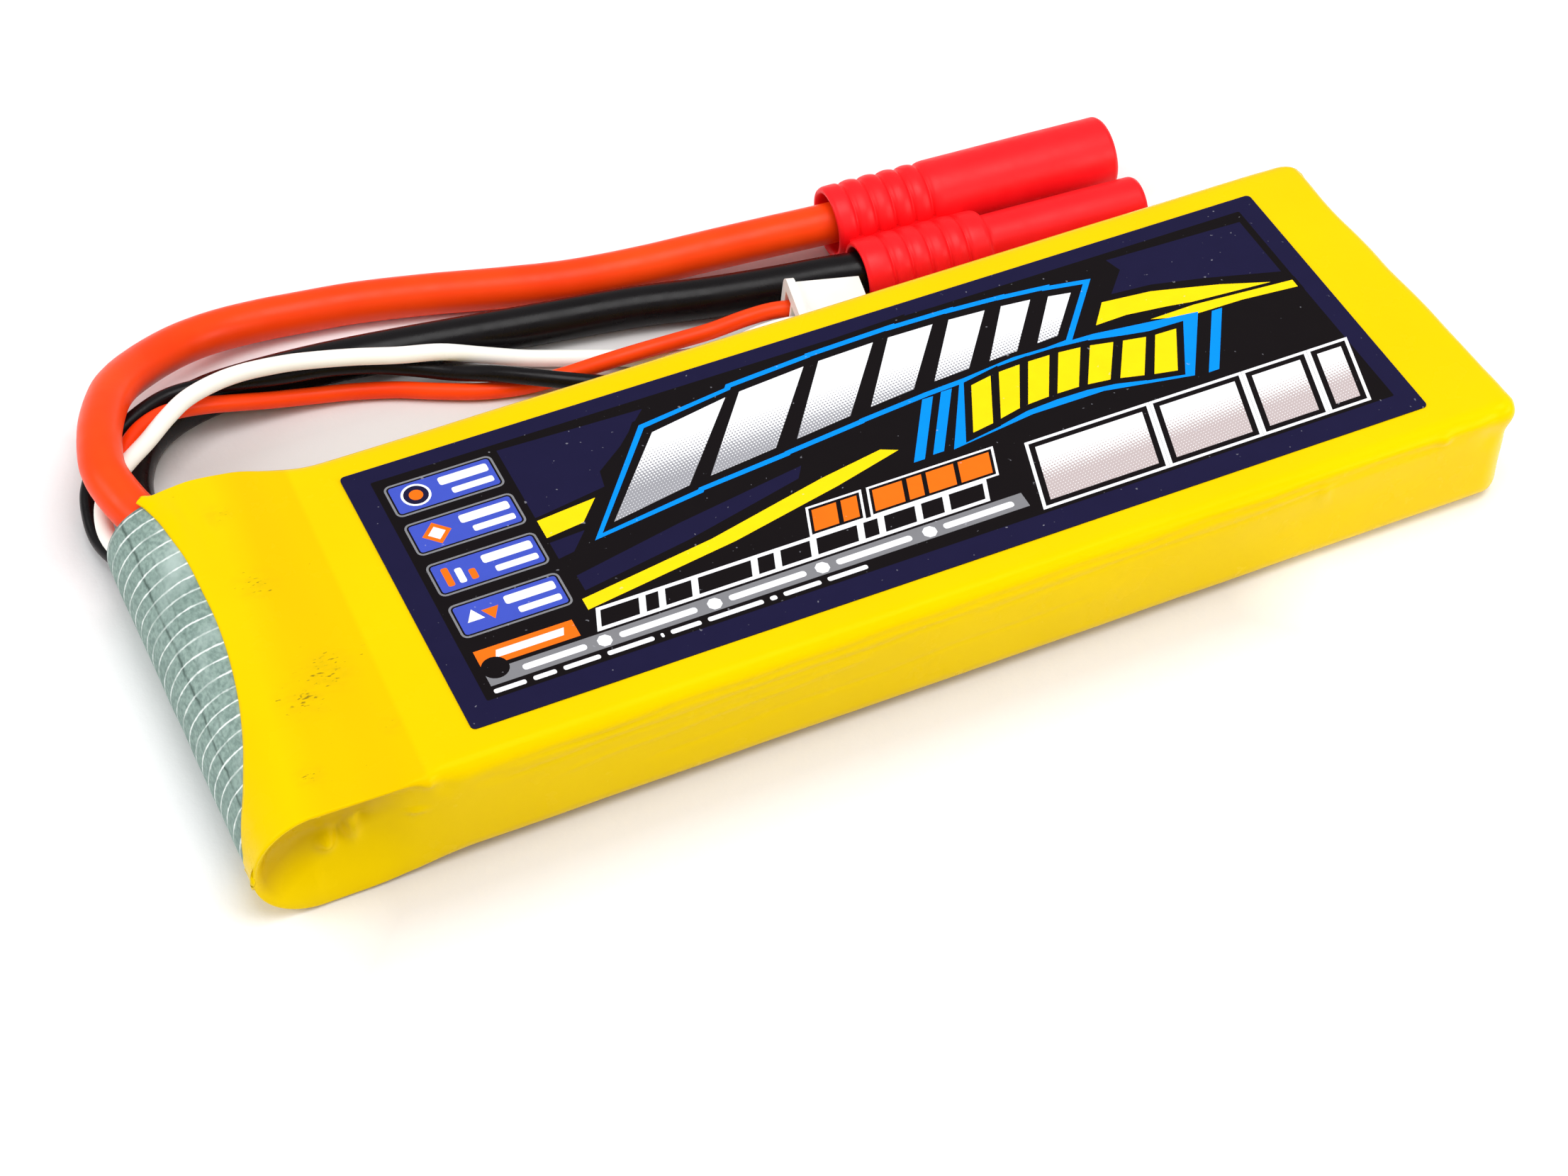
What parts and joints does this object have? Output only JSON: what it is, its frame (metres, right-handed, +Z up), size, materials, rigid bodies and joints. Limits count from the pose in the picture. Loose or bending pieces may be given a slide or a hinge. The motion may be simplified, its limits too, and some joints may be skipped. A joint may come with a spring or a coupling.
{
  "type": "lithium polymer battery pack",
  "caption": "Flat rectangular soft-sleeved battery pack with power leads ending in a twin bullet connector and thin balance leads ending in a small white plug.",
  "frame": {"origin": "middle of the sleeved pack's footprint, at the underside of its rear label, without the leads", "axes": "+X along the pack from the wire end to the plain end, +Y towards the side where the leads lie, +Z up out of the printed label"},
  "size_m": [0.133, 0.0767, 0.013],
  "materials": {
    "sleeve_film": "glossy shrink film",
    "label_print": "printed label",
    "fish_paper": "insulating paper with white threads",
    "pouch_foil": "satin laminate foil",
    "polyimide_tape": "amber tape",
    "foam_pad": "soft foam",
    "board_laminate": "solder-masked laminate",
    "nickel_strip": "plain strip",
    "solder": "bright solder",
    "tinned_copper": "stranded",
    "gold_plate": "gold plated",
    "red_nylon": "satin moulding",
    "red_silicone": "satin silicone",
    "black_silicone": "satin silicone",
    "white_silicone": "satin silicone",
    "white_nylon": "satin moulding"
  },
  "bodies": {
    "root": {"shrink_sleeve": "sleeve_film", "front_label": "label_print", "rear_label": "label_print", "nose_paper": "fish_paper", "cell_lower": "pouch_foil", "cell_upper": "pouch_foil", "cell_bonding_tape": "foam_pad", "cell_band_front": "polyimide_tape", "cell_band_rear": "polyimide_tape", "tail_pad": "fish_paper", "terminal_board": "board_laminate", "tab_positive": "nickel_strip", "tab_negative": "nickel_strip", "series_tab_upper": "nickel_strip", "series_tab_lower": "nickel_strip", "connector_housing": "red_nylon", "bullet_male": "gold_plate", "bullet_socket": "gold_plate", "balance_plug": "white_nylon", "balance_contact_near": "gold_plate", "balance_contact_middle": "gold_plate", "balance_contact_far": "gold_plate", "power_wire_red": "red_silicone", "power_wire_black": "black_silicone", "balance_wire_black": "black_silicone", "balance_wire_white": "white_silicone", "balance_wire_red": "red_silicone", "conductor_positive": "tinned_copper", "solder_positive": "solder", "conductor_negative": "tinned_copper", "solder_negative": "solder", "conductor_balance_red": "tinned_copper", "solder_balance_red": "solder", "conductor_balance_black": "tinned_copper", "solder_balance_black": "solder", "conductor_balance_white": "tinned_copper", "solder_balance_white": "solder"}
  },
  "joints": []
}
